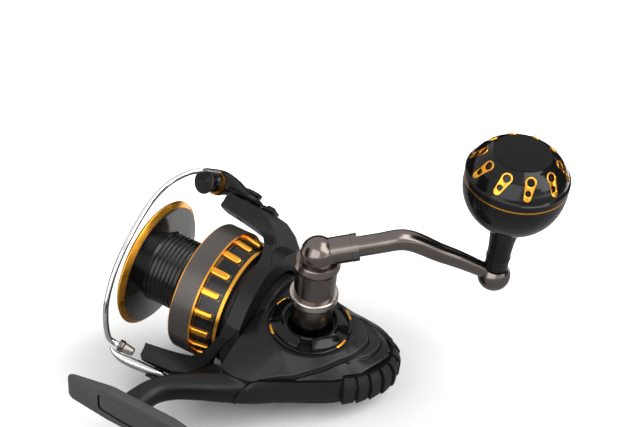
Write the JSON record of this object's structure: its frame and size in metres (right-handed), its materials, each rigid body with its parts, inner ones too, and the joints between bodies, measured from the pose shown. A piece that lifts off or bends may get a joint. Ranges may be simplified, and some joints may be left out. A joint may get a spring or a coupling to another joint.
{
  "type": "spinning reel",
  "caption": "Spinning fishing reel with a skirted spool, turning rotor with a folding bail and line roller, gear body with foot, and a bent crank handle with a round knob.",
  "frame": {"origin": "middle of the foot's flat face, where it lies in a rod's reel seat", "axes": "+X forward along the spool axis, +Y out of the foot's flat face, +Z along the handle axis, from the body to the handle"},
  "size_m": [0.1765, 0.1429, 0.1424],
  "materials": {
    "black_paint": "satin black paint",
    "cover_paint": "satin black paint",
    "black_plastic": "matte",
    "gloss_black": "gloss",
    "gold": "satin anodised",
    "skirt_grey": "satin anodised",
    "gunmetal": "polished",
    "light_gunmetal": "polished",
    "steel": "brushed",
    "bright_wire": "polished",
    "gear_brass": "machined",
    "gear_zinc": "machined",
    "slider_plastic": "matte",
    "drag_fibre": "matte"
  },
  "bodies": {
    "frame": {"body_housing": "black_paint", "side_cover": "cover_paint", "rear_cover": "black_plastic", "cover_screws": "steel", "rear_screws": "steel", "side_collar": "gloss_black", "collar_marks": "gold", "side_cap": "black_plastic", "handle_bearing": "steel", "cap_bearing": "steel", "pinion_bearing": "steel", "clutch_outer": "steel", "clutch_retainer": "steel", "guide_rod": "steel", "oscillation_post": "steel"},
    "crank": {"drive_shaft": "steel", "drive_gear": "gear_zinc", "oscillation_pinion": "gear_brass", "handle_column": "gunmetal", "column_ring": "light_gunmetal", "upper_ring": "light_gunmetal", "handle_elbow": "gunmetal", "sleeve_ring": "light_gunmetal", "handle_arm": "gunmetal", "knob_spindle": "steel"},
    "knob_group": {"knob_neck": "black_plastic", "knob_lower_shell": "gloss_black", "knob_line": "gold", "knob_upper_shell": "gloss_black", "knob_windows": "gold", "knob_cap": "gloss_black", "knob_bearings": "steel"},
    "oscillator": {"oscillation_gear": "gear_zinc"},
    "rotor_group": {"rotor": "black_paint", "rotor_nut": "gear_brass", "pinion": "gear_brass", "clutch_sleeve": "steel", "arm_covers": "black_paint", "arm_cover_screws": "steel", "bail_spring": "steel", "bail_pivots": "steel"},
    "bail_group": {"bail_arm": "black_paint", "bail_holder": "steel", "bail_wire": "bright_wire", "wire_socket": "light_gunmetal", "roller_axle": "steel", "roller_ring": "gold"},
    "roller_group": {"line_roller": "gloss_black"},
    "shaft_group": {"main_shaft": "steel", "slider": "slider_plastic"},
    "spool_group": {"spool": "skirt_grey", "spool_lip": "gold", "skirt_bars": "gold", "skirt_ring": "gold", "band_line": "gold", "drag_washers": "drag_fibre", "drag_retainer": "steel"},
    "drag_group": {"drag_knob": "black_plastic"}
  },
  "joints": [
    {"name": "handle_crank", "type": "hinge", "parent": "frame", "child": "crank", "pos_m": [-0.0363, -0.074, 0], "axis": [0, 0, -1], "continuous": true},
    {"name": "rotor_spin", "type": "hinge", "parent": "frame", "child": "rotor_group", "pos_m": [0, -0.0828, 0], "axis": [1, 0, 0], "continuous": true},
    {"name": "oscillator_spin", "type": "hinge", "parent": "frame", "child": "oscillator", "pos_m": [-0.05214, -0.0828, 0], "axis": [0, 0, -1], "continuous": true},
    {"name": "knob_spin", "type": "hinge", "parent": "crank", "child": "knob_group", "pos_m": [-0.09786, -0.12141, 0], "axis": [0, 0, 1], "continuous": true},
    {"name": "bail_flip", "type": "hinge", "parent": "rotor_group", "child": "bail_group", "pos_m": [0.0236, -0.0828, 0], "axis": [0, 0.829, -0.5592], "range_deg": [0, 110]},
    {"name": "roller_spin", "type": "hinge", "parent": "bail_group", "child": "roller_group", "pos_m": [0.0431, -0.1211, 0.02584], "axis": [0.288, 0.813, 0.506], "continuous": true},
    {"name": "shaft_slide", "type": "slide", "parent": "frame", "child": "shaft_group", "axis": [1, 0, 0], "range_m": [0, 0.0176]},
    {"name": "spool_spin", "type": "hinge", "parent": "shaft_group", "child": "spool_group", "pos_m": [0, -0.0828, 0], "axis": [1, 0, 0], "continuous": true},
    {"name": "drag_knob_turn", "type": "hinge", "parent": "shaft_group", "child": "drag_group", "pos_m": [0, -0.0828, 0], "axis": [1, 0, 0], "range_deg": [-180, 720]}
  ],
  "couplings": [
    {"joint": "rotor_spin", "follows": "handle_crank", "ratio": 5.7143},
    {"joint": "oscillator_spin", "follows": "handle_crank", "ratio": -0.5}
  ]
}
